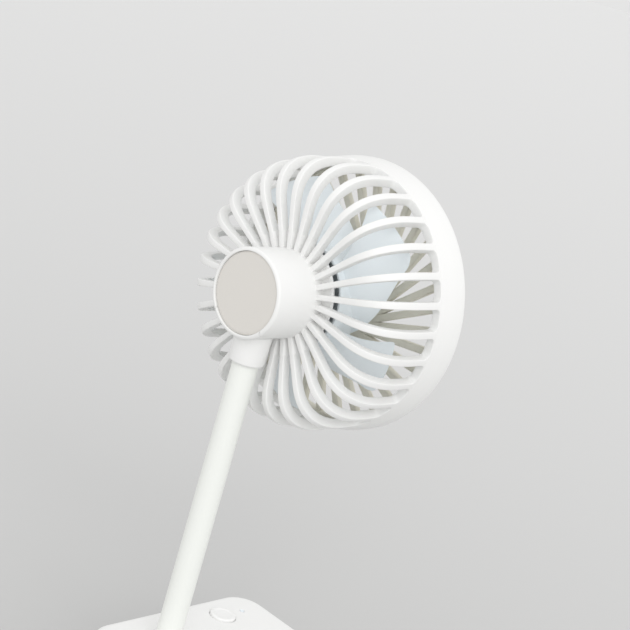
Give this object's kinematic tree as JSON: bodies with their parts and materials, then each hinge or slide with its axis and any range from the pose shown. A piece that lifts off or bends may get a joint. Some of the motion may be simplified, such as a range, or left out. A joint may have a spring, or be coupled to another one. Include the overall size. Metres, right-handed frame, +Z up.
{
  "type": "clip fan",
  "caption": "Small rechargeable clip fan: a slotted basket head with a swirl front grille on a bendable neck, standing on a clip base that holds the battery.",
  "frame": {"origin": "centre of the base's underside, on the rubber foot pad", "axes": "+Z up, -Y the way the fan blows with its neck straight, +X to the right seen from the front"},
  "size_m": [0.1272, 0.108, 0.2816],
  "materials": {
    "white_shell": "satin white",
    "cream_grille": "satin warm white",
    "pale_blue": "satin",
    "warm_grey_disc": "fine matte",
    "silicone": "matte silicone",
    "grey_rubber": "matte",
    "black_plastic": "matte",
    "steel": "plain",
    "bronze": "sintered",
    "magnet": "ferrite",
    "board": "solder mask",
    "cell_can": "shrink wrap",
    "lens": "clear",
    "red_lead": "insulation",
    "black_lead": "insulation"
  },
  "bodies": {
    "clip_base": {"lower_jaw": "white_shell", "foot_pad": "grey_rubber", "lower_jaw_pad": "grey_rubber", "hinge_pin": "steel", "pin_retainer": "steel", "jaw_spring": "steel"},
    "housing": {"housing_top": "white_shell", "housing_bottom": "white_shell", "housing_screw_1": "steel", "housing_screw_2": "steel", "housing_screw_3": "steel", "housing_screw_4": "steel", "battery_cell": "cell_can", "battery_contact_front": "steel", "battery_contact_rear": "steel", "circuit_board": "board", "usb_socket": "steel", "light_pipe": "lens", "button_dome": "grey_rubber", "upper_jaw_pad": "grey_rubber", "neck_nut": "steel", "neck_stem": "silicone"},
    "power_button": {"power_button": "white_shell"},
    "neck_1": {"neck_link_1": "silicone"},
    "neck_2": {"neck_link_2": "silicone"},
    "neck_3": {"neck_link_3": "silicone"},
    "neck_4": {"neck_link_4": "silicone"},
    "neck_5": {"neck_link_5": "silicone"},
    "head": {"neck_tip": "silicone", "neck_bracket": "white_shell", "rear_grille": "white_shell", "front_grille": "cream_grille", "front_badge": "white_shell", "rear_cap": "warm_grey_disc", "motor_can": "steel", "motor_end_bell": "black_plastic", "rear_bushing": "bronze", "front_bushing": "bronze", "motor_magnet_left": "magnet", "motor_magnet_right": "magnet", "motor_damper": "black_plastic", "motor_screw_left": "steel", "motor_screw_right": "steel", "motor_lead_red": "red_lead", "motor_lead_black": "black_lead"},
    "impeller": {"impeller": "pale_blue", "impeller_nut": "white_shell", "motor_shaft": "steel", "motor_rotor": "steel"}
  },
  "joints": [
    {"name": "clip_jaw", "type": "hinge", "parent": "clip_base", "child": "housing", "pos_m": [0, 0.012, 0.013], "axis": [-1, 0, 0], "range_deg": [0, 30], "stiffness_Nm_per_rad": 0.5, "springref_deg": -68.75, "deforming": ["jaw_spring"]},
    {"name": "power_button", "type": "slide", "parent": "housing", "child": "power_button", "axis": [0, 0, -1], "range_m": [0, 0.0006], "stiffness_N_per_m": 1500, "springref_m": -0.0004, "deforming": ["button_dome"]},
    {"name": "neck_bend_1", "type": "hinge", "parent": "housing", "child": "neck_1", "pos_m": [0, 0.026, 0.057], "axis": [1, 0, 0], "range_deg": [-20, 20]},
    {"name": "neck_bend_2", "type": "hinge", "parent": "neck_1", "child": "neck_2", "pos_m": [0, 0.026, 0.076], "axis": [0, 1, 0], "range_deg": [-20, 20]},
    {"name": "neck_bend_3", "type": "hinge", "parent": "neck_2", "child": "neck_3", "pos_m": [0, 0.026, 0.095], "axis": [1, 0, 0], "range_deg": [-20, 20]},
    {"name": "neck_bend_4", "type": "hinge", "parent": "neck_3", "child": "neck_4", "pos_m": [0, 0.026, 0.114], "axis": [0, 1, 0], "range_deg": [-20, 20]},
    {"name": "neck_bend_5", "type": "hinge", "parent": "neck_4", "child": "neck_5", "pos_m": [0, 0.026, 0.133], "axis": [1, 0, 0], "range_deg": [-20, 20]},
    {"name": "neck_bend_6", "type": "hinge", "parent": "neck_5", "child": "head", "pos_m": [0, 0.026, 0.152], "axis": [0, 1, 0], "range_deg": [-20, 20]},
    {"name": "fan_spin", "type": "hinge", "parent": "head", "child": "impeller", "pos_m": [0, 0, 0.218], "axis": [0, 1, 0], "continuous": true}
  ]
}
